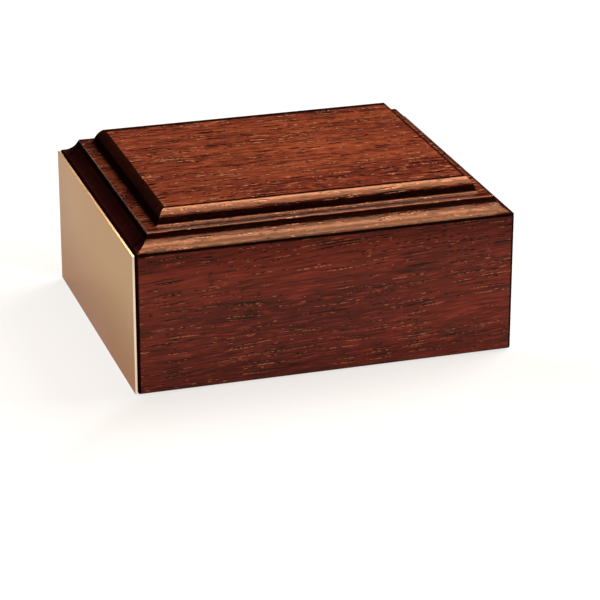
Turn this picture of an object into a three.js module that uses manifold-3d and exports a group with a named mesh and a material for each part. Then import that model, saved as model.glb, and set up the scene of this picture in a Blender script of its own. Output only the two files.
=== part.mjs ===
// A hollow wooden display base: four mitred walls, a moulded top board, a screwed bottom panel with a
// felt pad, and a thin metal plate on the left end. Millimetres, +Z up, front towards -Y.
// The origin is the centre of the base, on the surface that the felt rests on.

import * as THREE from 'three';
import { mergeVertices } from 'three/addons/utils/BufferGeometryUtils.js';
import Module from 'manifold-3d';

const wasm = await Module();
wasm.setup();

// ---- driving dimensions ----

const bodyLength = 152;
const bodyDepth = 128;
const totalHeight = 69.5;

const wallThickness = 12.5;
const feltThickness = 1.5;
const feltProud = 0.5;

// The top board's edge, from its outer edge inwards: plain edge, lip, cove, ledge, bead.
// The cove sinks below its chord by coveBow, and the bead stands off its chord by beadBow.
const plainEdge = 1;
const lipWidth = 0.5;
const coveWidth = 6;
const coveRise = 6;
const coveBow = 1.1;
const ledgeWidth = 5;
const beadWidth = 3.5;
const beadRise = 6;
const beadBow = 0.65;

const plateThickness = 1;
const filmThickness = 0.25;
const plateMargin = 0.25;
const filmMargin = 4;

const panelThickness = 6;
const rebateWidth = 6;
const panelGap = 0.25;

const feltInset = 3.25;
const feltCornerCut = 26;

const splineThickness = 3;
const splineWidth = 8;
const splineInset = 7;
const splineLow = 12;
const splineHeight = 34;

const blockLeg = 18;
const blockHeight = 24;
const blockTipCut = 2;

const dowelRadius = 2;
const dowelInset = 9.5;
const dowelSpread = 45;
const dowelInWall = 11;
const dowelInBoard = 4;

const screwInset = 6.5;
const screwLength = 16;
const screwHeadRadius = 3.5;
const screwHeadRim = 0.3;
const screwHeadHeight = 2.4;
const screwShankRadius = 1.75;
const screwTipLength = 4;
const screwSlotWidth = 0.9;
const screwSlotDepth = 1;

// Clearance between a let-in piece and the pocket cut for it.
const fitGap = 0.3;

const profileSteps = 8;
const roundSegments = 24;

// ---- derived sizes ----

const mouldingRise = coveRise + beadRise;
const boardThickness = plainEdge + mouldingRise;
const boardBottom = totalHeight - boardThickness;
const wallBottom = feltProud;
const wallHeight = boardBottom - wallBottom;
const panelBottom = feltThickness;
const panelTop = panelBottom + panelThickness;
const rebateLength = bodyLength - 2 * (wallThickness - rebateWidth);
const rebateDepth = bodyDepth - 2 * (wallThickness - rebateWidth);
const insideLength = bodyLength - 2 * wallThickness;
const insideDepth = bodyDepth - 2 * wallThickness;
const screwX = insideLength / 2 - screwInset;
const screwY = insideDepth / 2 - screwInset;

// The plate makes the left end thicker, so the wooden body sits a little to the right of the origin.
const bodyShift = (plateThickness + filmThickness) / 2;

const corners = [
  { name: 'front_left', sx: -1, sy: -1 },
  { name: 'front_right', sx: 1, sy: -1 },
  { name: 'back_left', sx: -1, sy: 1 },
  { name: 'back_right', sx: 1, sy: 1 },
];

// ---- finishes ----

function finish(color, roughness, metalness) {
  return new THREE.MeshStandardMaterial({ color, roughness, metalness });
}

const mahogany = () => finish(0x6b2f24, 0.3, 0);
const satinGold = () => finish(0xb8997a, 0.4, 1);
const adhesive = () => finish(0xd8d4c8, 0.6, 0);
const panelWood = () => finish(0xb08a5c, 0.7, 0);
const rawWood = () => finish(0xc9a878, 0.75, 0);
const felt = () => finish(0x1f3d2c, 0.95, 0);
const brass = () => finish(0xc9a24a, 0.35, 1);

// ---- solids ----

function toSolid(geometry) {
  const bare = geometry.clone();
  bare.deleteAttribute('normal');
  bare.deleteAttribute('uv');
  const merged = mergeVertices(bare);
  const index = merged.index.array;
  const kept = [];
  for (let i = 0; i < index.length; i += 3) {
    const [a, b, c] = [index[i], index[i + 1], index[i + 2]];
    if (a !== b && b !== c && c !== a) kept.push(a, b, c);
  }
  const mesh = new wasm.Mesh({
    numProp: 3,
    vertProperties: new Float32Array(merged.attributes.position.array),
    triVerts: new Uint32Array(kept),
  });
  return new wasm.Manifold(mesh);
}

function toGeometry(solid) {
  const mesh = solid.getMesh();
  const geometry = new THREE.BufferGeometry();
  geometry.setAttribute('position', new THREE.BufferAttribute(mesh.vertProperties, 3));
  geometry.setIndex(new THREE.BufferAttribute(mesh.triVerts, 1));
  geometry.computeVertexNormals();
  return geometry;
}

function box(sizeX, sizeY, sizeZ, x, y, low) {
  return new THREE.BoxGeometry(sizeX, sizeY, sizeZ).translate(x, y, low + sizeZ / 2);
}

function upright(radius, height, x, y, low) {
  const geometry = new THREE.CylinderGeometry(radius, radius, height, roundSegments);
  return geometry.rotateX(Math.PI / 2).translate(x, y, low + height / 2);
}

function outline(points) {
  return new THREE.Shape(points.map(([x, y]) => new THREE.Vector2(x, y)));
}

function prism(shape, height, low) {
  return new THREE.ExtrudeGeometry(shape, { depth: height, bevelEnabled: false }).translate(0, 0, low);
}

function named(name, geometry, material) {
  const mesh = new THREE.Mesh(geometry, material);
  mesh.name = name;
  return mesh;
}

// ---- top board ----

// A curve from start to end. It stands off the straight line between them by bow, or sinks if bow is
// negative.
function bowed(start, end, bow) {
  const chord = end.clone().sub(start);
  const outwards = new THREE.Vector2(-chord.y, chord.x).normalize();
  const control = start.clone().lerp(end, 0.5).addScaledVector(outwards, 2 * bow);
  return new THREE.QuadraticBezierCurve(start, control, end);
}

// Half of the moulded edge as [inset from the outer edge, height above the board's underside].
function mouldedEdge() {
  const ledgeHeight = plainEdge + coveRise;
  const lipEnd = new THREE.Vector2(lipWidth, plainEdge);
  const ledgeStart = new THREE.Vector2(lipWidth + coveWidth, ledgeHeight);
  const ledgeEnd = new THREE.Vector2(ledgeStart.x + ledgeWidth, ledgeHeight);
  const panelStart = new THREE.Vector2(ledgeEnd.x + beadWidth, boardThickness);
  const cove = bowed(lipEnd, ledgeStart, -coveBow);
  const bead = bowed(ledgeEnd, panelStart, beadBow);
  return [
    [0, 0],
    [0, plainEdge],
    ...cove.getPoints(profileSteps).map((p) => [p.x, p.y]),
    ...bead.getPoints(profileSteps).map((p) => [p.x, p.y]),
  ];
}

// The moulded edge on both sides of a board of the given width, as one closed section.
function boardSection(width) {
  const edge = mouldedEdge();
  const left = edge.map(([inset, height]) => [-width / 2 + inset, height]);
  const right = edge.map(([inset, height]) => [width / 2 - inset, height]).reverse();
  return outline([...left, ...right].reverse());
}

// Two crossed sections meet in true mitres at the corners of the moulding.
function topBoard() {
  const reach = Math.max(bodyLength, bodyDepth) + 2;
  const alongY = prism(boardSection(bodyLength), reach, -reach / 2).rotateX(Math.PI / 2);
  const alongX = prism(boardSection(bodyDepth), reach, -reach / 2)
    .rotateX(Math.PI / 2)
    .rotateZ(Math.PI / 2);
  let board = toSolid(alongY).intersect(toSolid(alongX)).translate([0, 0, boardBottom]);
  for (const { sx, sy } of corners) {
    board = board.subtract(toSolid(dowelPocket(sx, sy)));
  }
  return toGeometry(board);
}

// ---- walls ----

function longWallOutline(sy) {
  const outer = bodyLength / 2;
  const inner = outer - wallThickness;
  const front = [
    [-outer, -bodyDepth / 2],
    [outer, -bodyDepth / 2],
    [inner, -bodyDepth / 2 + wallThickness],
    [-inner, -bodyDepth / 2 + wallThickness],
  ];
  return sy < 0 ? front : front.map(([x, y]) => [x, -y]).reverse();
}

function endWallOutline(sx) {
  const outer = bodyDepth / 2;
  const inner = outer - wallThickness;
  const right = [
    [bodyLength / 2, -outer],
    [bodyLength / 2, outer],
    [bodyLength / 2 - wallThickness, inner],
    [bodyLength / 2 - wallThickness, -inner],
  ];
  return sx > 0 ? right : right.map(([x, y]) => [-x, y]).reverse();
}

function wall(points, ownCorners, hasDowels) {
  const rebate = box(rebateLength, rebateDepth, panelTop - wallBottom + 1, 0, 0, wallBottom - 1);
  let solid = toSolid(prism(outline(points), wallHeight, wallBottom)).subtract(toSolid(rebate));
  for (const { sx, sy } of ownCorners) {
    solid = solid.subtract(toSolid(mitreSpline(sx, sy, fitGap)));
    if (hasDowels) solid = solid.subtract(toSolid(dowelPocket(sx, sy)));
  }
  return toGeometry(solid);
}

function longWall(sy) {
  return wall(longWallOutline(sy), corners.filter((corner) => corner.sy === sy), true);
}

function endWall(sx) {
  return wall(endWallOutline(sx), corners.filter((corner) => corner.sx === sx), false);
}

// ---- joinery ----

// A strip let in across the mitre, square to it. The gap widens it into the pocket cut for it.
function mitreSpline(sx, sy, gap) {
  const strip = new THREE.BoxGeometry(splineWidth + gap, splineThickness + gap, splineHeight + gap);
  strip.rotateZ(sx * sy > 0 ? -Math.PI / 4 : Math.PI / 4);
  const x = sx * (bodyLength / 2 - splineInset);
  const y = sy * (bodyDepth / 2 - splineInset);
  return strip.translate(x, y, splineLow + splineHeight / 2);
}

function dowel(sx, sy) {
  const y = sy * (bodyDepth / 2 - dowelInset);
  return upright(dowelRadius, dowelInWall + dowelInBoard, sx * dowelSpread, y, boardBottom - dowelInWall);
}

function dowelPocket(sx, sy) {
  const y = sy * (bodyDepth / 2 - dowelInset);
  const height = dowelInWall + dowelInBoard + 2 * fitGap;
  const low = boardBottom - dowelInWall - fitGap;
  return upright(dowelRadius + fitGap / 2, height, sx * dowelSpread, y, low);
}

// A three-cornered block in the corner of the walls, its thin tips cut off, drilled for the screw.
function glueBlock(sx, sy) {
  const cornerX = insideLength / 2 - fitGap;
  const cornerY = insideDepth / 2 - fitGap;
  const points = [
    [cornerX, cornerY],
    [cornerX - blockLeg, cornerY],
    [cornerX - blockLeg, cornerY - blockTipCut],
    [cornerX - blockTipCut, cornerY - blockLeg],
    [cornerX, cornerY - blockLeg],
  ].map(([x, y]) => [sx * x, sy * y]);
  const turned = sx * sy > 0 ? points : points.reverse();
  const low = panelTop + fitGap;
  const block = toSolid(prism(outline(turned), blockHeight, low));
  const drillRadius = screwShankRadius + fitGap / 2;
  const drill = upright(drillRadius, screwLength + fitGap, sx * screwX, sy * screwY, panelBottom);
  return toGeometry(block.subtract(toSolid(drill)));
}

// ---- bottom ----

function bottomPanel() {
  const sizeX = rebateLength - 2 * panelGap;
  const sizeY = rebateDepth - 2 * panelGap;
  let panel = toSolid(box(sizeX, sizeY, panelThickness, 0, 0, panelBottom));
  for (const { sx, sy } of corners) {
    panel = panel.subtract(toSolid(screwBody(sx, sy, fitGap / 2, panelThickness + screwLength)));
  }
  return toGeometry(panel);
}

function baseFelt() {
  const x = rebateLength / 2 - feltInset;
  const y = rebateDepth / 2 - feltInset;
  const cut = feltCornerCut;
  const points = [
    [x - cut, -y],
    [x, -y + cut],
    [x, y - cut],
    [x - cut, y],
    [-x + cut, y],
    [-x, y - cut],
    [-x, -y + cut],
    [-x + cut, -y],
  ];
  return prism(outline(points), feltThickness, 0);
}

// A countersunk head with a straight shank, widened by the gap when it is used as a cutter.
function screwBody(sx, sy, gap, length) {
  const profile = [
    [0, -gap],
    [screwHeadRadius + gap, -gap],
    [screwHeadRadius + gap, screwHeadRim],
    [screwShankRadius + gap, screwHeadHeight],
    [screwShankRadius + gap, length - screwTipLength],
    [0, length],
  ].map(([r, z]) => new THREE.Vector2(r, z));
  const turned = new THREE.LatheGeometry(profile, roundSegments).rotateX(Math.PI / 2);
  return turned.translate(sx * screwX, sy * screwY, panelBottom);
}

function panelScrew(sx, sy) {
  const slot = box(2 * screwHeadRadius + 1, screwSlotWidth, 2 * screwSlotDepth, 0, 0, -screwSlotDepth);
  slot.rotateZ(Math.PI / 4 * sx).translate(sx * screwX, sy * screwY, panelBottom);
  return toGeometry(toSolid(screwBody(sx, sy, 0, screwLength)).subtract(toSolid(slot)));
}

// ---- end plate ----

function endPlate() {
  const height = totalHeight - mouldingRise - wallBottom - 2 * plateMargin;
  const x = -bodyLength / 2 - filmThickness - plateThickness / 2;
  return box(plateThickness, bodyDepth - 2 * plateMargin, height, x, 0, wallBottom + plateMargin);
}

function plateAdhesive() {
  const height = wallHeight - 2 * filmMargin;
  const x = -bodyLength / 2 - filmThickness / 2;
  return box(filmThickness, bodyDepth - 2 * filmMargin, height, x, 0, wallBottom + filmMargin);
}

// ---- assembly ----

const body = new THREE.Group();
body.position.x = bodyShift;
body.add(
  named('top_board', topBoard(), mahogany()),
  named('front_wall', longWall(-1), mahogany()),
  named('back_wall', longWall(1), mahogany()),
  named('left_end_wall', endWall(-1), mahogany()),
  named('right_end_wall', endWall(1), mahogany()),
  named('bottom_panel', bottomPanel(), panelWood()),
  named('base_felt', baseFelt(), felt()),
  named('end_plate', endPlate(), satinGold()),
  named('plate_adhesive', plateAdhesive(), adhesive()),
);
for (const { name, sx, sy } of corners) {
  body.add(
    named(`mitre_spline_${name}`, mitreSpline(sx, sy, 0), rawWood()),
    named(`glue_block_${name}`, glueBlock(sx, sy), rawWood()),
    named(`top_dowel_${name}`, dowel(sx, sy), rawWood()),
    named(`panel_screw_${name}`, panelScrew(sx, sy), brass()),
  );
}

const displayBase = new THREE.Group();
displayBase.add(body);

export default displayBase;
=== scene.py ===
import math

import bmesh
import bpy
from mathutils import Matrix, Vector, noise


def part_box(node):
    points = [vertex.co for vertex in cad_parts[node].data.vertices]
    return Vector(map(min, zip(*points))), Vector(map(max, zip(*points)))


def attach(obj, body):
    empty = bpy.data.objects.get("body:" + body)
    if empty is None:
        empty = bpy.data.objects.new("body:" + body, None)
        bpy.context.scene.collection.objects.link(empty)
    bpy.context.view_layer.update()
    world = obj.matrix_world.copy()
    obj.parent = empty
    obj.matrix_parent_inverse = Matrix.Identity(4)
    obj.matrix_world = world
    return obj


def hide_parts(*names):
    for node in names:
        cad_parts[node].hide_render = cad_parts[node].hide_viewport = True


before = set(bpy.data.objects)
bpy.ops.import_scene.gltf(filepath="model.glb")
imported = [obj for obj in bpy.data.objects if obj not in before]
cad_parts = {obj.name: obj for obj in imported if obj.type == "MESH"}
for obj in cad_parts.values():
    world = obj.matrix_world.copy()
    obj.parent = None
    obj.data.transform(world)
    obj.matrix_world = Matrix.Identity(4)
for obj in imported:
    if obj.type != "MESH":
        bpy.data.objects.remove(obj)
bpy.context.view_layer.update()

MM = 0.001

# The top board's edge from its outer edge inwards, as in the CAD part.
PLAIN_EDGE = 1.0 * MM
LIP_WIDTH = 0.5 * MM
COVE_WIDTH = 6.0 * MM
COVE_RISE = 6.0 * MM
COVE_BOW = 1.1 * MM
LEDGE_WIDTH = 5.0 * MM
BEAD_WIDTH = 3.5 * MM
BEAD_BOW = 0.65 * MM

WALL_THICKNESS = 12.5 * MM
REBATE_WIDTH = 6.0 * MM
FELT_CORNER_CUT = 26.0 * MM

# Joinery and screws, as in the CAD part. FIT_GAP is a let-in piece's clearance, half on each side.
FIT_GAP = 0.3 * MM
SPLINE_SIZE = (8.0 * MM, 3.0 * MM, 34.0 * MM)
DOWEL_RADIUS = 2.0 * MM
BLOCK_LEG = 18.0 * MM
BLOCK_TIP_CUT = 2.0 * MM
HEAD_RADIUS = 3.5 * MM
HEAD_RIM = 0.3 * MM
HEAD_HEIGHT = 2.4 * MM
SHANK_RADIUS = 1.75 * MM
SCREW_LENGTH = 16.0 * MM
SCREW_TIP = 4.0 * MM
SLOT_WIDTH = 0.9 * MM
SLOT_DEPTH = 1.0 * MM

# Finer detail of the joinery and screws. THREAD_SHARPNESS narrows the ridge, THREAD_STEPS are for each turn,
# and SCREW_POINT is the share of the radius that is left at the point.
THREAD_START = 6.5 * MM
THREAD_PITCH = 1.6 * MM
THREAD_ROOT = 1.25 * MM
THREAD_SHARPNESS = 2.6
THREAD_STEPS = 8
SCREW_POINT = 0.06
HEAD_CHAMFER = 0.15 * MM
DOWEL_CHAMFER = 0.5 * MM
DOWEL_CHAMFER_SLOPE = 0.6
FLUTE_DEPTH = 0.12 * MM
FLUTE_MARGIN = 1.0 * MM
SLIVER_EASE = 0.25 * MM

# How far sanding has rounded each kind of edge, and how far lacquer has filled the bead's foot.
CORNER_RADIUS = 0.9 * MM
BOTTOM_EASE = 0.8 * MM
SEAM_EASE = 0.3 * MM
LIP_EASE = 0.25 * MM
ARRIS_EASE = 0.6 * MM
PANEL_EASE = 0.08 * MM
FOOT_FILLET = 1.0 * MM
PLATE_EASE = 0.15 * MM
WOOD_EASE = 0.3 * MM
FILM_EASE = 0.06 * MM
FELT_EASE = 0.3 * MM

# The felt's grid, how far its nap stands up, and how finely the nap changes from place to place.
FELT_STEP = 1.6 * MM
FELT_NAP = 0.08 * MM
NAP_FINENESS = 900

# Painted shade along the arrises and in the recesses of the moulding. Each line has a strength, is full
# out to the first distance from its middle, and has faded out at the second.
PANEL_LINE = (1.0, 0.75 * MM, 1.0 * MM)
LIP_LINE = (1.0, 0.3 * MM, 0.5 * MM)
RIGHT_LINE = (1.0, 0.7 * MM, 1.2 * MM)
LEDGE_SHADE = (0.85, 0.8 * MM, 1.6 * MM)
END_SHADE = (0.22, 3.2 * MM, 4.2 * MM)
FOOT_LINE = (1.0, 0.3 * MM, 0.8 * MM)
COVE_LINE = (1.0, 0.3 * MM, 0.8 * MM)
SEAM_LINE = (1.0, 0.5 * MM, 0.85 * MM)
SEAM_SHADE = (0.4, 1.5 * MM, 14.0 * MM)
BOTTOM_LINE = (1.0, 0.4 * MM, 1.0 * MM)
BOTTOM_SHADE = (0.3, 2.0 * MM, 14.0 * MM)
CORNER_LINE = (1.0, 0.9 * MM, 1.3 * MM)

# How many times narrower the panel's line is on the left, right, front and back, and the lip's at the ends.
# Below 1, a line is wider.
PANEL_SIDES = (2.0, 2.0, 1.0, 0.55)
LIP_ENDS = 0.4

# How many steps draw a curve, and how many sides a round body has.
CORNER_STEPS = 5
CURVE_STEPS = 16
EASE_STEPS = 3
BEVEL_STEPS = 2
DOWEL_SIDES = 48
SCREW_SIDES = 40
HOLE_SIDES = 32

# Edges sharper than the angle are drawn sharp. Faces that lean further than the slopes can be in the dark
# wood: the top board's towards its ends, and the walls' at their corners. BODY_INSIDE is past the moulding.
SMOOTH_ANGLE = math.radians(34)
END_GRAIN_SLOPE = 0.28
CORNER_SLOPE = 0.1
BODY_INSIDE = 20.0 * MM
MERGE_DISTANCE = 1e-7
SHORTEST_EDGE = 1e-8

# The corners anticlockwise from the back right one, as signs of X and Y, and the names that nodes use.
CORNER_SIGNS = ((1, 1), (-1, 1), (-1, -1), (1, -1))
CORNER_NAMES = ("front_left", "front_right", "back_left", "back_right")


# ---- outlines ----

def eased(point, before, after, radius):
    """The corner at point rounded off by a curve that starts and ends radius away from it."""
    p, a, b = Vector(point), Vector(before), Vector(after)
    start = p + (a - p).normalized() * radius
    end = p + (b - p).normalized() * radius
    curve = []
    for i in range(EASE_STEPS + 1):
        t = i / EASE_STEPS
        curve.append(tuple((1 - t) ** 2 * start + 2 * t * (1 - t) * p + t ** 2 * end))
    return curve


def rounded_outline(points, radii):
    """A closed outline with each corner eased by its radius; 0 keeps it sharp."""
    outline = []
    for i, point in enumerate(points):
        if radii[i]:
            outline += eased(point, points[i - 1], points[(i + 1) % len(points)], radii[i])
        else:
            outline.append(point)
    return outline


def bowed(start, end, bow):
    """Points on a curve that stands off the straight line from start to end by bow, or sinks below it."""
    a, b = Vector(start), Vector(end)
    chord = b - a
    control = (a + b) / 2 + 2 * bow * Vector((-chord.y, chord.x)).normalized()
    curve = []
    for i in range(CURVE_STEPS + 1):
        t = i / CURVE_STEPS
        curve.append(tuple((1 - t) ** 2 * a + 2 * t * (1 - t) * control + t ** 2 * b))
    return curve


def board_edge(thickness):
    """The moulded edge as (inset, height above the underside), from the underside to the top."""
    ledge = PLAIN_EDGE + COVE_RISE
    cove_end = LIP_WIDTH + COVE_WIDTH
    bead_start = cove_end + LEDGE_WIDTH
    bead_end = bead_start + BEAD_WIDTH
    cove = bowed((LIP_WIDTH, PLAIN_EDGE), (cove_end, ledge), -COVE_BOW)[:-1]
    bead = bowed((bead_start, ledge), (bead_end, thickness), BEAD_BOW)[2:-1]
    return [
        *eased((0, 0), (SEAM_EASE * 2, 0), (0, PLAIN_EDGE), SEAM_EASE),
        *eased((0, PLAIN_EDGE), (0, 0), (LIP_WIDTH, PLAIN_EDGE), LIP_EASE),
        *cove,
        *eased((cove_end, ledge), cove[-1], (bead_start, ledge), ARRIS_EASE),
        *eased((bead_start, ledge), (cove_end, ledge), bead[0], FOOT_FILLET),
        *bead,
        *eased((bead_end, thickness), bead[-1], (bead_end + BEAD_WIDTH, thickness), PANEL_EASE),
    ]


# ---- meshes ----

def ring_point(half, inset, radius, corner, turn, z):
    """A point on a rounded rectangle that lies inset within another, of half sizes half."""
    sx, sy = CORNER_SIGNS[corner]
    a = math.radians(90 * corner + turn)
    left = max(radius - inset, 0)
    reach = max(radius, inset)
    return (sx * (half[0] - reach) + left * math.cos(a), sy * (half[1] - reach) + left * math.sin(a), z)


def make_piece(name, bm, replaced, material):
    """Finishes a bmesh as a piece that stands for CAD nodes and rides on the one body."""
    bmesh.ops.remove_doubles(bm, verts=bm.verts, dist=MERGE_DISTANCE)
    bmesh.ops.dissolve_degenerate(bm, dist=SHORTEST_EDGE, edges=bm.edges)
    bmesh.ops.recalc_face_normals(bm, faces=bm.faces)
    mesh = bpy.data.meshes.new(name)
    bm.to_mesh(mesh)
    bm.free()
    mesh.polygons.foreach_set("use_smooth", [True] * len(mesh.polygons))
    mesh.set_sharp_from_angle(angle=SMOOTH_ANGLE)
    mesh.materials.append(material)
    piece = bpy.data.objects.new(name, mesh)
    bpy.context.scene.collection.objects.link(piece)
    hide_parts(*replaced)
    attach(piece, "root")
    return piece


def loft(bm, rings):
    """Faces from each ring of vertices to the next, and one over the first ring and over the last."""
    for a, b in zip(rings, rings[1:]):
        for j in range(len(a)):
            k = (j + 1) % len(a)
            bm.faces.new((a[j], a[k], b[k], b[j]))
    bm.faces.new(rings[0])
    bm.faces.new(rings[-1])


def moulded_board(half, centre_x, low, thickness):
    """The top board, with one ring of vertices for each point of its moulded edge."""
    bm = bmesh.new()
    rows = []
    for inset, height in board_edge(thickness):
        row = []
        for corner in range(4):
            for i in range(CORNER_STEPS + 1):
                turn = 90 * i / CORNER_STEPS
                point = ring_point(half, inset, CORNER_RADIUS, corner, turn, low + height)
                row.append(bm.verts.new(point))
        rows.append(row)
    loft(bm, rows)
    bmesh.ops.translate(bm, vec=(centre_x, 0, 0), verts=bm.verts)
    return bm


def wall_section(low, high, rebate_top):
    """A wall cut across, as (inset, height), with the rebate for the bottom panel."""
    outline = [
        (0, low),
        (0, high),
        (WALL_THICKNESS, high),
        (WALL_THICKNESS, rebate_top),
        (WALL_THICKNESS - REBATE_WIDTH, rebate_top),
        (WALL_THICKNESS - REBATE_WIDTH, low),
    ]
    radii = [BOTTOM_EASE, SEAM_EASE, 0, SEAM_EASE, 0, SEAM_EASE]
    return rounded_outline(outline, radii)


def mitred_wall(half, centre_x, section, corner):
    """The wall from the middle of one corner to the middle of the next, anticlockwise from above."""
    bm = bmesh.new()
    rows = []
    for end, first_turn in ((corner, 45), ((corner + 1) % 4, 0)):
        for i in range(CORNER_STEPS + 1):
            turn = first_turn + 45 * i / CORNER_STEPS
            rows.append([
                bm.verts.new(ring_point(half, inset, CORNER_RADIUS, end, turn, z))
                for inset, z in section
            ])
    loft(bm, rows)
    bmesh.ops.translate(bm, vec=(centre_x, 0, 0), verts=bm.verts)
    return bm


def eased_slab(low, high, ease):
    """A box with every edge rounded."""
    bm = bmesh.new()
    bmesh.ops.create_cube(bm, size=1)
    size = high - low
    bmesh.ops.scale(bm, vec=size, verts=bm.verts)
    bmesh.ops.translate(bm, vec=(low + high) / 2, verts=bm.verts)
    bmesh.ops.bevel(bm, geom=bm.edges, offset=ease, segments=EASE_STEPS, profile=0.5, affect="EDGES")
    return bm


def add_block(bm, centre, size, turn=0.0):
    """A plain box turned about its upright axis, for cutting pockets and slots."""
    made = bmesh.ops.create_cube(bm, size=1)
    place = Matrix.Translation(centre) @ Matrix.Rotation(turn, 4, "Z") @ Matrix.Diagonal((*size, 1))
    bmesh.ops.transform(bm, matrix=place, verts=made["verts"])


def add_spun(bm, centre, heights, radius_at, sides):
    """An upright round body. radius_at gives its radius at a height and at a share of the turn round it."""
    rings = []
    for height in heights:
        ring = []
        for i in range(sides):
            turn = 2 * math.pi * i / sides
            radius = radius_at(height, i / sides)
            x = centre.x + radius * math.cos(turn)
            y = centre.y + radius * math.sin(turn)
            ring.append(bm.verts.new((x, y, height)))
        rings.append(ring)
    loft(bm, rings)


def eased_prism(outline, low, high, ease):
    """An upright prism with every edge rounded."""
    bm = bmesh.new()
    face = bm.faces.new([bm.verts.new((x, y, low)) for x, y in outline])
    made = bmesh.ops.extrude_face_region(bm, geom=[face])
    raised = [v for v in made["geom"] if isinstance(v, bmesh.types.BMVert)]
    bmesh.ops.translate(bm, vec=(0, 0, high - low), verts=raised)
    bmesh.ops.bevel(bm, geom=bm.edges, offset=ease, segments=BEVEL_STEPS, profile=0.5, affect="EDGES")
    return bm


def cut_out(bm, cutter):
    """What is left of the solid bm once the solids in cutter are taken out."""
    items = []
    for source in (bm, cutter):
        bmesh.ops.recalc_face_normals(source, faces=source.faces)
        mesh = bpy.data.meshes.new("cutting")
        source.to_mesh(mesh)
        source.free()
        items.append(bpy.data.objects.new("cutting", mesh))
        bpy.context.scene.collection.objects.link(items[-1])
    body, tool = items
    boolean = body.modifiers.new("cut", "BOOLEAN")
    boolean.operation = "DIFFERENCE"
    boolean.solver = "EXACT"
    boolean.object = tool
    evaluated = body.evaluated_get(bpy.context.evaluated_depsgraph_get())
    result = bmesh.new()
    result.from_mesh(evaluated.to_mesh())
    evaluated.to_mesh_clear()
    for item in items:
        mesh = item.data
        bpy.data.objects.remove(item)
        bpy.data.meshes.remove(mesh)
    return result


def middle(node):
    """The middle of a CAD node's box."""
    low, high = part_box(node)
    return (low + high) / 2


def spline_turn(corner_name):
    """A spline lies square to the mitre of its corner."""
    return math.radians(45 if corner_name in ("front_right", "back_left") else -45)


def add_spline_pocket(bm, corner_name):
    """Adds what has to be cut away for the spline at a corner."""
    size = [side + FIT_GAP for side in SPLINE_SIZE]
    add_block(bm, middle("mitre_spline_" + corner_name), size, spline_turn(corner_name))


def add_dowel_pocket(bm, corner_name):
    """Adds what has to be cut away for the dowel near a corner."""
    node = "top_dowel_" + corner_name
    low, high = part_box(node)
    heights = (low.z - FIT_GAP, high.z + FIT_GAP)
    add_spun(bm, middle(node), heights, lambda z, turn: DOWEL_RADIUS + FIT_GAP / 2, HOLE_SIDES)


# ---- material nodes ----

class Nodes:
    """Short calls for building one material's node tree."""

    def __init__(self, name):
        self.material = bpy.data.materials.new(name)
        self.material.use_nodes = True
        self.tree = self.material.node_tree
        self.shader = self.tree.nodes["Principled BSDF"]

    def node(self, kind, inputs=None, **settings):
        node = self.tree.nodes.new(kind)
        for key, value in settings.items():
            setattr(node, key, value)
        for key, value in (inputs or {}).items():
            self.put(node.inputs[key], value)
        return node

    def put(self, socket, value):
        if isinstance(value, bpy.types.NodeSocket):
            self.tree.links.new(value, socket)
        else:
            socket.default_value = value

    def mapped(self, location=(0, 0, 0), rotation=(0, 0, 0), scale=(1, 1, 1), source=None):
        coords = source or self.node("ShaderNodeTexCoord").outputs["Object"]
        inputs = {"Vector": coords, "Location": location, "Rotation": rotation, "Scale": scale}
        return self.node("ShaderNodeMapping", inputs).outputs["Vector"]

    def place(self):
        """The X, Y and Z of the point that is shaded."""
        coords = self.node("ShaderNodeTexCoord").outputs["Object"]
        return self.node("ShaderNodeSeparateXYZ", {0: coords}).outputs

    def noise(self, vector, detail=3.0, roughness=0.5, distortion=0.0):
        inputs = {"Vector": vector, "Scale": 1.0, "Detail": detail,
                  "Roughness": roughness, "Distortion": distortion}
        return self.node("ShaderNodeTexNoise", inputs).outputs["Fac"]

    def cells(self, vector):
        return self.node("ShaderNodeTexVoronoi", {"Vector": vector, "Scale": 1.0, "Randomness": 1.0})

    def math(self, operation, a, b=0.0):
        return self.node("ShaderNodeMath", {0: a, 1: b}, operation=operation).outputs[0]

    def away(self, value, middle):
        """How far value is from middle, on either side."""
        return self.math("ABSOLUTE", self.math("SUBTRACT", value, middle))

    def vector(self, operation, a, b):
        return self.node("ShaderNodeVectorMath", {0: a, 1: b}, operation=operation).outputs[0]

    def ramp(self, value, low, high, to_low=0.0, to_high=1.0):
        inputs = {"Value": value, "From Min": low, "From Max": high, "To Min": to_low, "To Max": to_high}
        return self.node("ShaderNodeMapRange", inputs, interpolation_type="SMOOTHSTEP").outputs["Result"]

    def mix(self, factor, a, b):
        """Colour a where factor is 0 and b where it is 1. The mix node's colours are reached by number."""
        node = self.node("ShaderNodeMix", {"Factor": factor, 6: a, 7: b}, data_type="RGBA")
        return node.outputs[2]

    def bump(self, height, strength, distance):
        inputs = {"Height": height, "Strength": strength, "Distance": distance}
        return self.node("ShaderNodeBump", inputs).outputs["Normal"]


def rgba(r, g, b):
    """A colour given as 0 to 255 on screen, as linear light."""
    def linear(value):
        v = value / 255
        return v / 12.92 if v <= 0.04045 else ((v + 0.055) / 1.055) ** 2.4
    return (linear(r), linear(g), linear(b), 1.0)


# Mahogany's colours on screen. The first six are scaled by a board's tone.
DARK_BAND = (96, 35, 24)
PALE_BAND = (146, 63, 34)
STREAK = (56, 18, 15)
PALE_FIBRE = (176, 82, 46)
DARK_FIBRE = (44, 13, 11)
# The pore colour is also painted shade on one wall of each pore.
PORE_AND_SHADE = (24, 6, 5)
# The end grain's colours. The low one is paler, as painted light where the lip and the cove's foot face up.
SOAKED_AND_LIT_LOW = (66, 25, 26)
SOAKED_HIGH = (48, 22, 18)
# The colour of the painted shade lines, and how much of it shows.
SHADE_LINE_COLOUR = (16, 4, 3)
SHADE_LINE_COVER = 0.9
SOAKED_COVER = 0.85
LIT_BAND_RISE = (1 * MM, 3 * MM)


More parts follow.
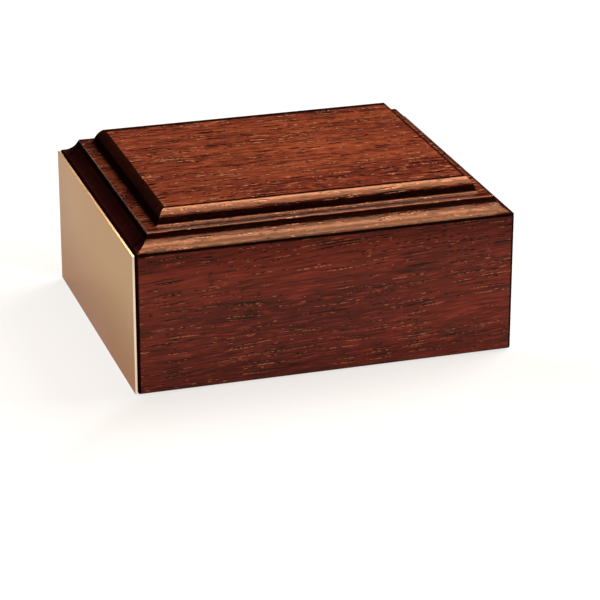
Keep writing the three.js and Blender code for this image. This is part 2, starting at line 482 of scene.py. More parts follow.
def painted_shade_lines(n, half, centre_x, board_low, bottom):
    """How dark the painted shade is, worked out from a point's distance to each line.

    The lines of the moulding stop at the walls. The ledges at the ends are darker all over, as painted
    shade. The right arris has a line of its own, and the front ledge one along its middle.
    """
    place = n.place()
    from_end = n.math("SUBTRACT", half[0], n.away(place["X"], centre_x))
    from_front = n.math("SUBTRACT", half[1], n.math("ABSOLUTE", place["Y"]))
    inset = n.math("MINIMUM", from_end, from_front)
    corner = n.math("MAXIMUM", from_end, from_front)
    height = place["Z"]
    cove_end = LIP_WIDTH + COVE_WIDTH
    ledge_middle = cove_end + LEDGE_WIDTH / 2
    foot = cove_end + LEDGE_WIDTH
    panel = foot + BEAD_WIDTH
    on_walls = n.math("LESS_THAN", height, board_low)
    sides = (("X", centre_x, half[0], PANEL_SIDES[:2]), ("Y", 0.0, half[1], PANEL_SIDES[2:]))
    on_panel = 1.0
    for axis, centre, size, narrowing in sides:
        off_centre = n.math("SUBTRACT", place[axis], centre)
        for sign, factor in zip((-1, 1), narrowing):
            inside = n.math("SUBTRACT", size - panel, n.math("MULTIPLY", off_centre, sign))
            on_panel = n.math("MINIMUM", on_panel, n.math("MULTIPLY", inside, factor))
    from_right = n.math("SUBTRACT", n.math("ADD", half[0], centre_x), place["X"])
    past_mitre = n.math("LESS_THAN", from_front, from_end)
    on_right = n.math("ADD", from_right, n.math("ADD", on_walls, past_mitre))
    on_lip = n.math("MINIMUM", n.math("MULTIPLY", from_end, LIP_ENDS), from_front)
    on_lip = n.math("ADD", on_lip, on_walls)
    on_end = n.math("ADD", from_end, on_walls)
    on_front = n.math("ADD", from_front, on_walls)
    lines = (
        (corner, 0, CORNER_LINE),
        (on_panel, PANEL_LINE[1], PANEL_LINE),
        (on_lip, 0, LIP_LINE),
        (on_end, ledge_middle, END_SHADE),
        (on_right, cove_end, RIGHT_LINE),
        (on_front, ledge_middle, LEDGE_SHADE),
        (inset, foot + FOOT_LINE[1] * 2, FOOT_LINE),
        (inset, cove_end - COVE_LINE[1] * 2, COVE_LINE),
        (height, board_low + PLAIN_EDGE - SEAM_LINE[1], SEAM_LINE),
        (height, board_low, SEAM_SHADE),
        (height, bottom, BOTTOM_LINE),
        (height, bottom, BOTTOM_SHADE),
    )
    darkness = 0.0
    for measure, where, (strength, full, faded) in lines:
        line = n.ramp(n.away(measure, where), full, faded, strength, 0.0)
        darkness = n.math("MAXIMUM", darkness, line)
    return darkness


def grain_space(n, along, plank, slope):
    """Texture space with X along the grain, which wanders a little. plank places the board in its log."""
    turn = math.radians(90) if along == "Y" else 0.0
    straight = n.mapped(rotation=(0, math.radians(slope), turn), location=plank)
    wander = n.noise(n.mapped(source=straight, scale=(9, 30, 30)), detail=2)
    shift = n.node("ShaderNodeCombineXYZ")
    n.put(shift.inputs["Y"], n.ramp(wander, 0.2, 0.8, -0.0012, 0.0012))
    n.put(shift.inputs["Z"], n.ramp(wander, 0.2, 0.8, 0.0012, -0.0012))
    return n.vector("ADD", straight, shift.outputs[0])


def pores(n, grain, shift, scale, share):
    """Cut vessels as short grooves: a wall dark as pore and painted shade, and one with painted glint dots.
    """
    moved = n.mapped(source=grain, scale=scale, location=shift)
    cell = n.cells(moved)
    chance = n.node("ShaderNodeSeparateColor", {"Color": cell.outputs["Color"]}).outputs[0]
    crowding = n.noise(n.mapped(source=grain, scale=(30, 110, 110), location=shift), detail=2)
    wanted = n.math("ADD", chance, n.ramp(crowding, 0.35, 0.65, -share, share))
    wanted = n.ramp(wanted, 1 - share, 1.02 - share)
    groove = n.math("MULTIPLY", wanted, n.ramp(cell.outputs["Distance"], 0.34, 0.46, 1.0, 0.0))
    depth = n.math("MULTIPLY", wanted, n.ramp(cell.outputs["Distance"], 0.0, 0.46, 1.0, 0.0))
    offset = n.node("ShaderNodeSeparateXYZ", {0: n.vector("SUBTRACT", moved, cell.outputs["Position"])})
    side = n.ramp(n.math("SUBTRACT", offset.outputs["Z"], offset.outputs["Y"]), -0.15, -0.03)
    grit = n.noise(n.mapped(source=grain, scale=(700, 1500, 1500)), detail=1)
    dark = n.math("MULTIPLY", groove, side)
    # Painted glints: dots along the pore's other wall.
    light = n.math("MULTIPLY", n.math("SUBTRACT", groove, dark), n.ramp(grit, 0.45, 0.55))
    return depth, dark, light


def mahogany(name, along, plank, measures, slope=0.0, tone=(1, 1, 1), pore_size=(1.0, 1.0),
             shares=(0.7, 0.6, 0.6), painted_glint=(240, 138, 90), end_grain=False):
    """Stained, lacquered mahogany.

    plank places the board in its log, and slope tilts its grain by so many degrees. pore_size scales the
    pores' length and width. shares are the strengths of streaks, fibres and painted glints. End grain
    drinks more stain and lacquer, so it is darker and matt. The lip and the walls' corners are drawn in it
    too, darker and matt as painted shade. Low down it is paler, as painted light.
    """
    n = Nodes(name)
    grain = grain_space(n, along, plank, slope)
    bands = n.noise(n.mapped(source=grain, scale=(6, 55, 55)), detail=3)
    streaks = n.noise(n.mapped(source=grain, scale=(22, 300, 300)), detail=4, roughness=0.6)
    length, width = pore_size
    fibre_scale = (170 / length, 1400 / width, 1400)
    fibres = n.noise(n.mapped(source=grain, scale=fibre_scale), detail=3, roughness=0.6)
    families = (
        pores(n, grain, (0, 0, 0), (330, 1250 / width, 1250), 0.22),
        pores(n, grain, (3, 1, 5), (110 / length, 1200 / width, 1200), 0.22),
        pores(n, grain, (7, 4, 2), (55 / length, 1050 / width, 1050), 0.2),
    )
    depth, dark, light = (n.math("MAXIMUM", n.math("MAXIMUM", a, b), c) for a, b, c in zip(*families))

    def toned(colour):
        return rgba(*(part * share for part, share in zip(colour, tone)))

    streak_share, fibre_share, painted_glint_share = shares
    base = n.mix(n.ramp(bands, 0.3, 0.7), toned(DARK_BAND), toned(PALE_BAND))
    base = n.mix(n.ramp(streaks, 0.42, 0.7, 0.0, streak_share), base, toned(STREAK))
    base = n.mix(n.ramp(fibres, 0.52, 0.7, 0.0, fibre_share), base, toned(PALE_FIBRE))
    base = n.mix(n.ramp(fibres, 0.34, 0.46, fibre_share, 0.0), base, toned(DARK_FIBRE))
    # One wall of each pore is dark, as pore and painted shade.
    base = n.mix(dark, base, toned(PORE_AND_SHADE))
    if end_grain:
        board_low = measures[2]
        low, high = (board_low + PLAIN_EDGE + rise for rise in LIT_BAND_RISE)
        # Paler low down, as painted light on the lip and the cove's foot.
        soaked_and_lit = n.mix(n.ramp(n.place()["Z"], low, high), rgba(*SOAKED_AND_LIT_LOW), rgba(*SOAKED_HIGH))
        base = n.mix(SOAKED_COVER, base, soaked_and_lit)
    # Painted shade along the arrises and recesses, and near the seam, the ends and the bottom.
    line_shade = painted_shade_lines(n, *measures)
    base = n.mix(n.math("MULTIPLY", line_shade, SHADE_LINE_COVER), base, rgba(*SHADE_LINE_COLOUR))
    clear = n.math("SUBTRACT", 1.0, n.math("MULTIPLY", line_shade, line_shade))
    # Painted glints on the pores, left out under the painted shade lines.
    painted_shine = 0.0 if end_grain else n.math("MULTIPLY", n.math("MULTIPLY", light, clear), painted_glint_share)
    n.put(n.shader.inputs["Base Color"], n.mix(painted_shine, base, rgba(*painted_glint)))

    ripples = n.noise(n.mapped(source=grain, scale=(260, 750, 750)), detail=2)
    relief = n.math("SUBTRACT", n.math("MULTIPLY", fibres, 0.3), n.math("MULTIPLY", depth, 0.6))
    relief = n.math("ADD", relief, n.math("MULTIPLY", streaks, 0.5))
    relief = n.math("ADD", relief, n.math("MULTIPLY", ripples, 0.9))
    n.put(n.shader.inputs["Normal"], n.bump(relief, 0.7, 0.00014))
    n.put(n.shader.inputs["Roughness"], n.ramp(streaks, 0.2, 0.8, 0.11, 0.17))
    # The painted shade also takes the tint out of the lacquer's shine along its lines.
    tint = n.mix(line_shade, (1.0, 0.56, 0.36, 1.0), (0.1, 0.05, 0.03, 1.0))
    n.put(n.shader.inputs["Specular Tint"], tint)
    n.shader.inputs["Specular IOR Level"].default_value = 0.0 if end_grain else 0.25
    return n.material


PLATE_FACE = ((181, 156, 124), (187, 161, 129))
# Painted shade: the plate is browner near its foot.
PLATE_SHADED_FOOT = (169, 131, 104)
# The paler cut edges are bare metal and also a painted highlight.
PLATE_BARE_EDGE_AND_HIGHLIGHT = (236, 214, 190)
PLATE_FADE = 40 * MM


def satin_gold(name):
    """A satin lacquered plate, browner near its foot as painted shade.

    Its cut edges are bare, so they are paler, and their paler colour is also a painted highlight.
    """
    n = Nodes(name)
    smudges = n.noise(n.mapped(scale=(25, 25, 25)), detail=4)
    graining = n.noise(n.mapped(scale=(900, 90, 5200)), detail=2)
    normal = n.node("ShaderNodeNewGeometry").outputs["Normal"]
    across = n.node("ShaderNodeSeparateXYZ", {0: normal}).outputs["X"]
    # Paler edges: bare metal and a painted highlight.
    bare_edge_and_highlight = n.ramp(n.math("ABSOLUTE", across), 0.3, 0.6, 1.0, 0.0)
    base = n.mix(n.ramp(smudges, 0.3, 0.7), *(rgba(*colour) for colour in PLATE_FACE))
    # Painted shade near the foot.
    base = n.mix(n.ramp(n.place()["Z"], 0.0, PLATE_FADE, 1.0, 0.0), base, rgba(*PLATE_SHADED_FOOT))
    base = n.mix(bare_edge_and_highlight, base, rgba(*PLATE_BARE_EDGE_AND_HIGHLIGHT))
    n.put(n.shader.inputs["Base Color"], base)
    n.put(n.shader.inputs["Roughness"], n.ramp(smudges, 0.25, 0.75, 0.34, 0.4))
    n.put(n.shader.inputs["Normal"], n.bump(graining, 0.06, 0.00003))
    n.shader.inputs["Metallic"].default_value = 1.0
    n.shader.inputs["Specular Tint"].default_value = (0.75, 0.6, 0.52, 1.0)
    return n.material


# The unstained woods: the colours of their dark bands, pale bands and flecks.
PANEL_COLOURS = ((170, 128, 84), (196, 156, 108), (112, 78, 48))
SPLINE_COLOURS = ((196, 160, 114), (218, 186, 142), (140, 102, 64))
DOWEL_COLOURS = ((190, 148, 104), (210, 172, 128), (132, 88, 54))
BLOCK_COLOURS = ((176, 138, 94), (204, 168, 122), (120, 84, 52))


def plain_wood(name, along, colours):
    """Bare sanded wood, with short flecks and faint marks across the grain left by the saw."""
    n = Nodes(name)
    dark_band, pale_band, fleck = (rgba(*colour) for colour in colours)
    turns = {"X": (0, 0, 0), "Z": (0, math.radians(90), 0)}
    grain = n.mapped(rotation=turns[along])
    bands = n.noise(n.mapped(source=grain, scale=(8, 90, 70)), detail=3)
    fibres = n.noise(n.mapped(source=grain, scale=(90, 1800, 1800)), detail=3)
    flecks = n.noise(n.mapped(source=grain, scale=(240, 1300, 1300)), detail=2, roughness=0.7)
    marks = n.noise(n.mapped(source=grain, scale=(900, 40, 40)), detail=1)
    base = n.mix(n.ramp(bands, 0.3, 0.7), dark_band, pale_band)
    base = n.mix(n.ramp(fibres, 0.4, 0.8, 0.0, 0.35), base, fleck)
    base = n.mix(n.ramp(flecks, 0.6, 0.72, 0.0, 0.6), base, fleck)
    n.put(n.shader.inputs["Base Color"], base)
    n.put(n.shader.inputs["Roughness"], n.ramp(fibres, 0.2, 0.8, 0.55, 0.8))
    relief = n.math("ADD", fibres, n.math("MULTIPLY", marks, 0.5))
    n.put(n.shader.inputs["Normal"], n.bump(relief, 0.5, 0.0001))
    return n.material


def felt_cloth(name):
    """Green wool felt with short crossing hairs, a little patchy."""
    n = Nodes(name)
    hairs = n.noise(n.mapped(scale=(2400, 1500, 2400)), detail=4, roughness=0.7, distortion=1.5)
    patches = n.noise(n.mapped(scale=(60, 60, 60)), detail=3)
    base = n.mix(n.ramp(hairs, 0.3, 0.7), rgba(20, 44, 31), rgba(48, 84, 62))
    base = n.mix(n.ramp(patches, 0.3, 0.7, 0.0, 0.3), base, rgba(24, 52, 38))
    n.put(n.shader.inputs["Base Color"], base)
    n.put(n.shader.inputs["Roughness"], n.ramp(hairs, 0.2, 0.8, 0.85, 1.0))
    n.put(n.shader.inputs["Normal"], n.bump(hairs, 0.9, 0.0003))
    n.shader.inputs["Sheen Weight"].default_value = 0.5
    n.shader.inputs["Sheen Roughness"].default_value = 0.4
    return n.material


def turned_brass(name):
    """Plain brass, slightly tarnished in spots."""
    n = Nodes(name)
    marks = n.noise(n.mapped(scale=(700, 700, 700)), detail=3)
    base = n.mix(n.ramp(marks, 0.3, 0.7), rgba(176, 136, 66), rgba(226, 188, 104))
    n.put(n.shader.inputs["Base Color"], base)
    n.put(n.shader.inputs["Roughness"], n.ramp(marks, 0.2, 0.8, 0.24, 0.44))
    n.put(n.shader.inputs["Normal"], n.bump(marks, 0.25, 0.00004))
    n.shader.inputs["Metallic"].default_value = 1.0
    return n.material


def mounting_film(name):
    """Pale double-sided film."""
    n = Nodes(name)
    clouds = n.noise(n.mapped(scale=(300, 300, 300)), detail=3)
    n.put(n.shader.inputs["Base Color"], n.mix(clouds, rgba(214, 208, 194), rgba(228, 224, 214)))
    n.put(n.shader.inputs["Roughness"], n.ramp(clouds, 0.2, 0.8, 0.5, 0.7))
    n.put(n.shader.inputs["Normal"], n.bump(clouds, 0.2, 0.00005))
    return n.material


# ---- pieces ----

# Where the boards were cut from the log. The top, the lip and the corners share one place.
TOP_PLANK = (0.31, 0.12, 0.05)
BACK_PLANK = (0.9, 0.45, 0.2)
FRONT_PLANK = (0.45, 0.3, 0.83)
LEFT_PLANK = (0.2, 0.7, 0.6)
RIGHT_PLANK = (0.6, 0.1, 0.35)

# How each board differs from plain mahogany: see mahogany(). The top's tone is paler and the front's
# darker, partly the boards' own tone and partly painted light. The glint colours are painted highlights.
TOP_LOOK = {"tone": (1.08, 1.18, 1.28), "pore_size": (1.0, 1.7), "painted_glint": (255, 163, 115)}
WALL_LOOK = {"pore_size": (1.8, 1.0), "shares": (0.6, 0.75, 0.5), "painted_glint": (240, 142, 100)}
WALL_TONE = (0.95, 0.93, 0.93)
FRONT_TONE_AND_SHADE = (0.96, 0.74, 0.98)
FRONT_SLOPE = 2.5
BACK_SLOPE = -2.0


def body_measures():
    """The body's half sizes and its centre in X, and how high the top board and the walls start."""
    low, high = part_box("top_board")
    half = ((high.x - low.x) / 2, (high.y - low.y) / 2)
    return half, (low.x + high.x) / 2, low.z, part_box("front_wall")[0].z


def add_top_board(measures, end_grain_and_shade):
    """The moulded board. Its end cove and bead, and its outer edge as painted shade, are in the dark wood.
    """
    half, centre_x, board_low, _ = measures
    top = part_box("top_board")[1].z
    pockets = bmesh.new()
    for corner in CORNER_NAMES:
        add_dowel_pocket(pockets, corner)
    bm = cut_out(moulded_board(half, centre_x, board_low, top - board_low), pockets)
    face_wood = mahogany("mahogany_top", "X", TOP_PLANK, measures, **TOP_LOOK)
    board = make_piece("moulded_top_board", bm, ["top_board"], face_wood)
    board.data.materials.append(end_grain_and_shade)
    cove = (LIP_WIDTH, LIP_WIDTH + COVE_WIDTH - ARRIS_EASE / 2)
    bead = (LIP_WIDTH + COVE_WIDTH + LEDGE_WIDTH - FOOT_FILLET / 4, BODY_INSIDE)
    for face in board.data.polygons:
        inset = half[0] - abs(face.center.x - centre_x)
        sideways = abs(face.normal.x) > max(abs(face.normal.y), END_GRAIN_SLOPE)
        end_grain = sideways and any(low < inset < high for low, high in (cove, bead))
        near_edge = min(inset, half[1] - abs(face.center.y)) < LIP_WIDTH
        on_edge = near_edge and face.normal.z > -END_GRAIN_SLOPE
        if end_grain or on_edge:
            face.material_index = 1


def add_walls(measures, end_grain_and_shade):
    """The four mitred walls. Their rounded corners are in the dark wood, as painted shade."""
    half, centre_x, board_low, bottom = measures
    section = wall_section(bottom, board_low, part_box("bottom_panel")[1].z)
    walls = (
        ("back_wall", 0, "X", BACK_PLANK, BACK_SLOPE, WALL_TONE),
        ("left_end_wall", 1, "Y", LEFT_PLANK, 0.0, WALL_TONE),
        ("front_wall", 2, "X", FRONT_PLANK, FRONT_SLOPE, FRONT_TONE_AND_SHADE),
        ("right_end_wall", 3, "Y", RIGHT_PLANK, 0.0, WALL_TONE),
    )
    for node, corner, along, plank, slope, tone in walls:
        place = node.split("_")[0]
        pockets = bmesh.new()
        for corner_name in (name for name in CORNER_NAMES if place in name):
            add_spline_pocket(pockets, corner_name)
            if along == "X":
                add_dowel_pocket(pockets, corner_name)
        bm = cut_out(mitred_wall(half, centre_x, section, corner), pockets)
        wood = mahogany("mahogany_" + node, along, plank, measures, slope, tone, **WALL_LOOK)
        wall = make_piece("mitred_" + node, bm, [node], wood)
        wall.data.materials.append(end_grain_and_shade)
        for face in wall.data.polygons:
            if min(abs(face.normal.x), abs(face.normal.y)) > CORNER_SLOPE:
                face.material_index = 1


def add_end_plate():
    """The plate on the left end and the film that holds it."""
    low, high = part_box("end_plate")
    bm = eased_slab(low, high, PLATE_EASE)
    make_piece("satin_end_plate", bm, ["end_plate"], satin_gold("satin_gold"))
    low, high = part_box("plate_adhesive")
    bm = eased_slab(low, high, FILM_EASE)
    make_piece("mounting_film", bm, ["plate_adhesive"], mounting_film("mounting_film"))


def add_felt():
    """Felt under the panel. Its visible side is a fine grid whose points stand up and down as nap does."""
    low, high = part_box("base_felt")
    centre_x = (low.x + high.x) / 2
    x, y, cut = high.x - centre_x, high.y, FELT_CORNER_CUT
    outline = [(x - cut, -y), (x, -y + cut), (x, y - cut), (x - cut, y),
               (-x + cut, y), (-x, y - cut), (-x, -y + cut), (-x + cut, -y)]
    bm = bmesh.new()
    bm.faces.new([bm.verts.new((px + centre_x, py, low.z)) for px, py in outline])
    for normal, reach in ((Vector((1, 0, 0)), x), (Vector((0, 1, 0)), y)):
        count = int(2 * reach / FELT_STEP)
        for i in range(1, count):
            point = normal * (-reach + 2 * reach * i / count) + Vector((centre_x, 0, 0))
            everything = bm.verts[:] + bm.edges[:] + bm.faces[:]
            bmesh.ops.bisect_plane(bm, geom=everything, plane_co=point, plane_no=normal)
    made = bmesh.ops.extrude_face_region(bm, geom=bm.faces[:])
    raised = [v for v in made["geom"] if isinstance(v, bmesh.types.BMVert)]
    bmesh.ops.translate(bm, vec=(0, 0, high.z - low.z), verts=raised)
    rims = [edge for edge in bm.edges if edge.calc_face_angle(0) > SMOOTH_ANGLE]
    bmesh.ops.bevel(bm, geom=rims, offset=FELT_EASE, segments=BEVEL_STEPS, profile=0.5, affect="EDGES")
    for vert in bm.verts:
        if vert.co.z < (low.z + high.z) / 2:
            vert.co.z += FELT_NAP * (0.5 + 0.5 * noise.noise(vert.co * NAP_FINENESS))
    felt = make_piece("felt_sheet", bm, ["base_felt"], felt_cloth("felt"))


def screw_radius(height, turn):
    """The screw's radius at a height above its head's face: head, plain shank, then thread and point."""
    if height <= HEAD_RIM:
        return HEAD_RADIUS - max(HEAD_CHAMFER - height, 0)
    if height <= HEAD_HEIGHT:
        return HEAD_RADIUS + (SHANK_RADIUS - HEAD_RADIUS) * (height - HEAD_RIM) / (HEAD_HEIGHT - HEAD_RIM)
    if height <= THREAD_START:
        return SHANK_RADIUS
    cycle = (height / THREAD_PITCH + turn) % 1
    ridge = max(1 - abs(cycle - 0.5) * THREAD_SHARPNESS, 0)
    run_in = min((height - THREAD_START) / THREAD_PITCH, 1)
    full = THREAD_ROOT + (SHANK_RADIUS - THREAD_ROOT) * (1 - run_in + run_in * ridge)
    return full * max(min((SCREW_LENGTH - height) / SCREW_TIP, 1), SCREW_POINT)


def add_bottom_panel():
    """The panel that closes the base, with a countersunk hole for each screw."""
    low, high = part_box("bottom_panel")
    holes = bmesh.new()
    gap = FIT_GAP / 2
    for corner in CORNER_NAMES:
        heights = (low.z - gap, low.z + HEAD_RIM, low.z + HEAD_HEIGHT, high.z + gap)
        radii = dict(zip(heights, (HEAD_RADIUS, HEAD_RADIUS, SHANK_RADIUS, SHANK_RADIUS)))
        centre = middle("panel_screw_" + corner)
        add_spun(holes, centre, heights, lambda z, turn: radii[z] + gap, SCREW_SIDES)
    bm = cut_out(eased_slab(low, high, WOOD_EASE), holes)
    wood = plain_wood("panel_face", "X", PANEL_COLOURS)
    make_piece("bottom_board", bm, ["bottom_panel"], wood)


def add_splines():
    """The strips let in across the mitres."""
    wood = plain_wood("spline_wood", "X", SPLINE_COLOURS)
    for corner in CORNER_NAMES:
        size = Vector(SPLINE_SIZE)
        bm = eased_slab(-size / 2, size / 2, SLIVER_EASE)
        node = "mitre_spline_" + corner
        place = Matrix.Translation(middle(node)) @ Matrix.Rotation(spline_turn(corner), 4, "Z")
        bmesh.ops.transform(bm, matrix=place, verts=bm.verts)
        make_piece("spline_" + corner, bm, [node], wood)


def dowel_radius(low, high):
    """A dowel's radius at a height and a share of the turn, with chamfered ends and flutes between them."""
    def radius(height, turn):
        from_end = min(height - low, high - height)
        fluted = from_end > FLUTE_MARGIN / 2 and round(turn * DOWEL_SIDES) % 2
        chamfer = max(DOWEL_CHAMFER - from_end, 0) * DOWEL_CHAMFER_SLOPE
        return DOWEL_RADIUS - chamfer - (FLUTE_DEPTH if fluted else 0)
    return radius


def add_dowels():
    """The dowels that place the top board on the long walls."""
    wood = plain_wood("dowel_wood", "Z", DOWEL_COLOURS)
    for corner in CORNER_NAMES:
        node = "top_dowel_" + corner
        low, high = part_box(node)
        heights = (low.z, low.z + DOWEL_CHAMFER, low.z + FLUTE_MARGIN, high.z - FLUTE_MARGIN,
                   high.z - DOWEL_CHAMFER, high.z)
        bm = bmesh.new()
        add_spun(bm, middle(node), heights, dowel_radius(low.z, high.z), DOWEL_SIDES)
        make_piece("fluted_dowel_" + corner, bm, [node], wood)


def add_glue_blocks():
    """The corner blocks, each bored for its screw."""
    wood = plain_wood("block_wood", "Z", BLOCK_COLOURS)
    for corner in CORNER_NAMES:
        low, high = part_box("glue_block_" + corner)
        screw = middle("panel_screw_" + corner)
        sx = 1 if "right" in corner else -1
        sy = 1 if "back" in corner else -1
        x = high.x if sx > 0 else low.x
        y = high.y if sy > 0 else low.y
        tips = ((BLOCK_LEG, 0), (BLOCK_LEG, BLOCK_TIP_CUT), (BLOCK_TIP_CUT, BLOCK_LEG), (0, BLOCK_LEG))
        outline = [(x - sx * along, y - sy * across) for along, across in ((0, 0), *tips)]
        hole = bmesh.new()
        heights = (low.z - FIT_GAP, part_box("panel_screw_" + corner)[1].z + FIT_GAP)
        add_spun(hole, screw, heights, lambda z, turn: SHANK_RADIUS + FIT_GAP / 2, HOLE_SIDES)
        bm = cut_out(eased_prism(outline, low.z, high.z, WOOD_EASE), hole)
        make_piece("corner_block_" + corner, bm, ["glue_block_" + corner], wood)


def add_screws():
    """Slotted countersunk wood screws. Their threads are only drawn here, not in the CAD part."""
    brass = turned_brass("screw_brass")
    fine = int((SCREW_LENGTH - THREAD_START) / THREAD_PITCH * THREAD_STEPS)
    threaded = [THREAD_START + (SCREW_LENGTH - THREAD_START) * i / fine for i in range(fine + 1)]
    steps = [0, HEAD_CHAMFER, HEAD_RIM, HEAD_HEIGHT, *threaded]
    for corner in CORNER_NAMES:
        node = "panel_screw_" + corner
        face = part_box(node)[0].z
        centre = middle(node)
        heights = [face + step for step in steps]
        bm = bmesh.new()
        add_spun(bm, centre, heights, lambda z, turn: screw_radius(z - face, turn), SCREW_SIDES)
        slot = bmesh.new()
        turn = math.radians(45 if "right" in corner else -45)
        add_block(slot, (centre.x, centre.y, face), (3 * HEAD_RADIUS, SLOT_WIDTH, 2 * SLOT_DEPTH), turn)
        make_piece("wood_screw_" + corner, cut_out(bm, slot), [node], brass)


# ---- stage ----

# The camera: its direction in degrees, its distance, its lens and sensor in millimetres, and how far to the
# right of the origin and above it the camera aims.
CAMERA_AZIMUTH = -17.39
CAMERA_ELEVATION = 22.12
CAMERA_DISTANCE = 1.078
CAMERA_LENS = 157.4
CAMERA_SENSOR = 36
CAMERA_CLIP = (0.05, 50)
AIM_RIGHT = 8.7 * MM
AIM_UP = 5.2 * MM

# Softboxes side by side overhead: where each starts and ends in Y, its power for each square metre, and its
# colour.
SOFTBOX_HEIGHT = 1.0
SOFTBOX_SPAN = (-0.4, 0.8)
SOFTBOXES = (
    (-0.9, -0.42, 40, (1.0, 0.78, 0.6)),
    (-0.42, -0.12, 105, (1.0, 0.77, 0.56)),
    (-0.12, 0.72, 38, (1.0, 0.69, 0.4)),
)

# The side card is behind on the left. The sun is very soft, and the room light is faint.
SIDE_CARD_PLACE = (-1.0, 2.2, 0.8)
SIDE_CARD_SIZE = (1.0, 0.6)
SIDE_CARD_POWER = 8
SIDE_CARD_COLOUR = (1.0, 0.86, 0.72)
SUN_STRENGTH = 5.6
SUN_SPREAD = 50
SUN_DIRECTION = (-1.15, -0.4, -1)
ROOM_STRENGTH = 0.05

# The floor glows, but less close to the object, as a painted shadow. Beside the object's ends this shadow
# has a smaller share of its strength, and the change is spread over a strip along each corner's diagonal.
FLOOR_SIZE = 6.0
FLOOR_GLOW = 0.86
FLOOR_REFLECTANCE = 0.16
FLOOR_MOTTLE = 0.005
FLOOR_SHADE = (0.88, 0.85, 0.82, 1.0)
FLOOR_SHADE_REACH = 100 * MM
FLOOR_SHADE_ASIDE = 0.35
FLOOR_SHADE_TURN = 10 * MM
BACKDROP_RADIUS = 9.0


def add_camera():
    """The photo's camera, in front of the object on its left."""
    azimuth, elevation = math.radians(CAMERA_AZIMUTH), math.radians(CAMERA_ELEVATION)
    back = Vector((math.sin(azimuth) * math.cos(elevation), -math.cos(azimuth) * math.cos(elevation),
                   math.sin(elevation)))
    right = Vector((math.cos(azimuth), math.sin(azimuth), 0))
    up = back.cross(right)
    data = bpy.data.cameras.new("camera")
    data.lens = CAMERA_LENS
    data.sensor_width = CAMERA_SENSOR
    data.clip_start, data.clip_end = CAMERA_CLIP
    camera = bpy.data.objects.new("camera", data)
    camera.location = right * AIM_RIGHT + up * AIM_UP + back * CAMERA_DISTANCE
    camera.rotation_mode = "QUATERNION"
    camera.rotation_quaternion = (-back).to_track_quat("-Z", "Y")
    bpy.context.scene.collection.objects.link(camera)
    bpy.context.scene.camera = camera


def gloss_light(name, size, power, colour, place):
    """A rectangular light that faces down and that only gloss shows. power is for each square metre."""
    data = bpy.data.lights.new(name, "AREA")
    data.shape = "RECTANGLE"
    data.size, data.size_y = size
    data.energy = power * data.size * data.size_y
    data.color = colour
    light = bpy.data.objects.new(name, data)
    light.location = place
    light.visible_diffuse = False
    bpy.context.scene.collection.objects.link(light)
    return light


def add_softboxes():
    """The lights overhead. They show along the mouldings and on the plate."""
    left, right = SOFTBOX_SPAN
    for i, (near, far, power, colour) in enumerate(SOFTBOXES):
        place = ((left + right) / 2, (near + far) / 2, SOFTBOX_HEIGHT)
        gloss_light(f"softbox_{i}", (right - left, far - near), power, colour, place)


def add_side_card():
    """A pale card behind on the left, turned to the object. It shows along the left arrises."""
    card = gloss_light("side_card", SIDE_CARD_SIZE, SIDE_CARD_POWER, SIDE_CARD_COLOUR, SIDE_CARD_PLACE)
    card.rotation_mode = "QUATERNION"
    card.rotation_quaternion = (-Vector(SIDE_CARD_PLACE)).to_track_quat("-Z", "Y")


def add_soft_sun():
    """Soft light from above, behind on the right. Gloss doesn't show it."""
    data = bpy.data.lights.new("soft_sun", "SUN")
    data.energy = SUN_STRENGTH
    data.angle = math.radians(SUN_SPREAD)
    light = bpy.data.objects.new("soft_sun", data)
    light.rotation_mode = "QUATERNION"
    light.rotation_quaternion = Vector(SUN_DIRECTION).to_track_quat("-Z", "Y")
    light.visible_glossy = False
    bpy.context.scene.collection.objects.link(light)


def add_room_light():
    """Faint even light from all round. Gloss doesn't show it."""
    world = bpy.data.worlds.new("soft_room")
    world.use_nodes = True
    background = world.node_tree.nodes["Background"]
    background.inputs["Color"].default_value = (1, 1, 1, 1)
    background.inputs["Strength"].default_value = ROOM_STRENGTH
    world.cycles_visibility.glossy = False
    bpy.context.scene.world = world


def stage_mesh(name, bm, material):
    """Finishes a bmesh as part of the stage, which isn't part of the object."""
    mesh = bpy.data.meshes.new(name)
    bm.to_mesh(mesh)
    bm.free()
    mesh.materials.append(material)
    stage = bpy.data.objects.new(name, mesh)
    bpy.context.scene.collection.objects.link(stage)
    return stage


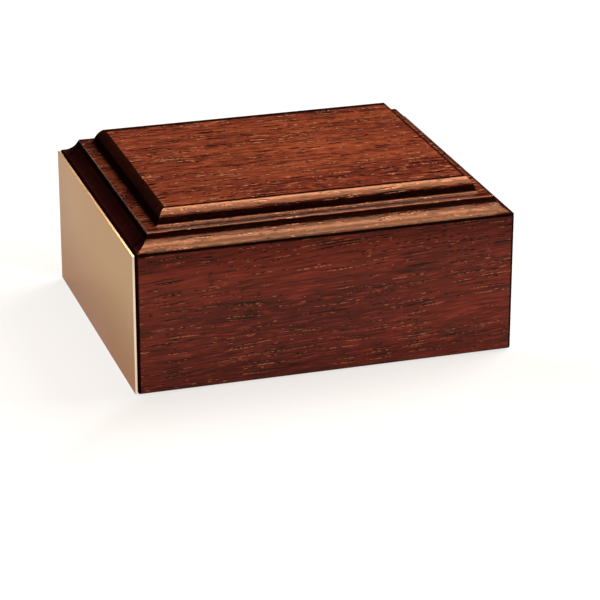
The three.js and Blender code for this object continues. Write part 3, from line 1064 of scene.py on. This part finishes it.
def add_floor(measures):
    """A white light table. It glows a little, so shadows stay faint.

    It glows less close to the object, as a painted shadow.
    """
    n = Nodes("pale_floor")
    faint = n.noise(n.mapped(scale=(4, 4, 4)), detail=2)
    low, high = ((FLOOR_REFLECTANCE + step,) * 3 + (1,) for step in (-FLOOR_MOTTLE, FLOOR_MOTTLE))
    n.put(n.shader.inputs["Base Color"], n.mix(faint, low, high))
    n.shader.inputs["Roughness"].default_value = 0.5
    n.shader.inputs["Specular IOR Level"].default_value = 0.2
    half, centre_x, _, _ = measures
    place = n.place()
    aside = n.math("SUBTRACT", n.away(place["X"], centre_x), half[0])
    before = n.math("SUBTRACT", n.math("ABSOLUTE", place["Y"]), half[1])
    # Painted shadow: the floor is dimmer close to the object.
    near = n.ramp(n.math("MAXIMUM", aside, before), 0.0, FLOOR_SHADE_REACH, 1.0, 0.0)
    past_corner = n.math("SUBTRACT", before, aside)
    share = n.ramp(past_corner, -FLOOR_SHADE_TURN, FLOOR_SHADE_TURN, FLOOR_SHADE_ASIDE, 1.0)
    glow_with_painted_shadow = n.mix(n.math("MULTIPLY", near, share), (1.0, 1.0, 1.0, 1.0), FLOOR_SHADE)
    n.put(n.shader.inputs["Emission Color"], glow_with_painted_shadow)
    n.shader.inputs["Emission Strength"].default_value = FLOOR_GLOW
    bm = bmesh.new()
    bmesh.ops.create_grid(bm, x_segments=1, y_segments=1, size=FLOOR_SIZE)
    stage_mesh("floor", bm, n.material)


def add_backdrop():
    """A plain white surround that only the camera sees."""
    n = Nodes("white_backdrop")
    n.shader.inputs["Base Color"].default_value = (0, 0, 0, 1)
    n.shader.inputs["Specular IOR Level"].default_value = 0.0
    n.shader.inputs["Emission Color"].default_value = (1, 1, 1, 1)
    n.shader.inputs["Emission Strength"].default_value = 1.0
    bm = bmesh.new()
    bmesh.ops.create_uvsphere(bm, u_segments=48, v_segments=24, radius=BACKDROP_RADIUS)
    backdrop = stage_mesh("backdrop", bm, n.material)
    backdrop.visible_diffuse = False
    backdrop.visible_glossy = False
    backdrop.visible_transmission = False
    backdrop.visible_shadow = False


bpy.context.scene.view_settings.view_transform = "Standard"
add_camera()
body = body_measures()
# Dark end grain, which also paints shade on the lip, the outer edge and the walls' corners.
end_grain_and_shade = mahogany("mahogany_end_grain_and_shade", "X", TOP_PLANK, body, end_grain=True)
add_top_board(body, end_grain_and_shade)
add_walls(body, end_grain_and_shade)
add_end_plate()
add_felt()
add_bottom_panel()
add_splines()
add_dowels()
add_glue_blocks()
add_screws()
add_floor(body)
add_backdrop()
add_softboxes()
add_side_card()
add_soft_sun()
add_room_light()
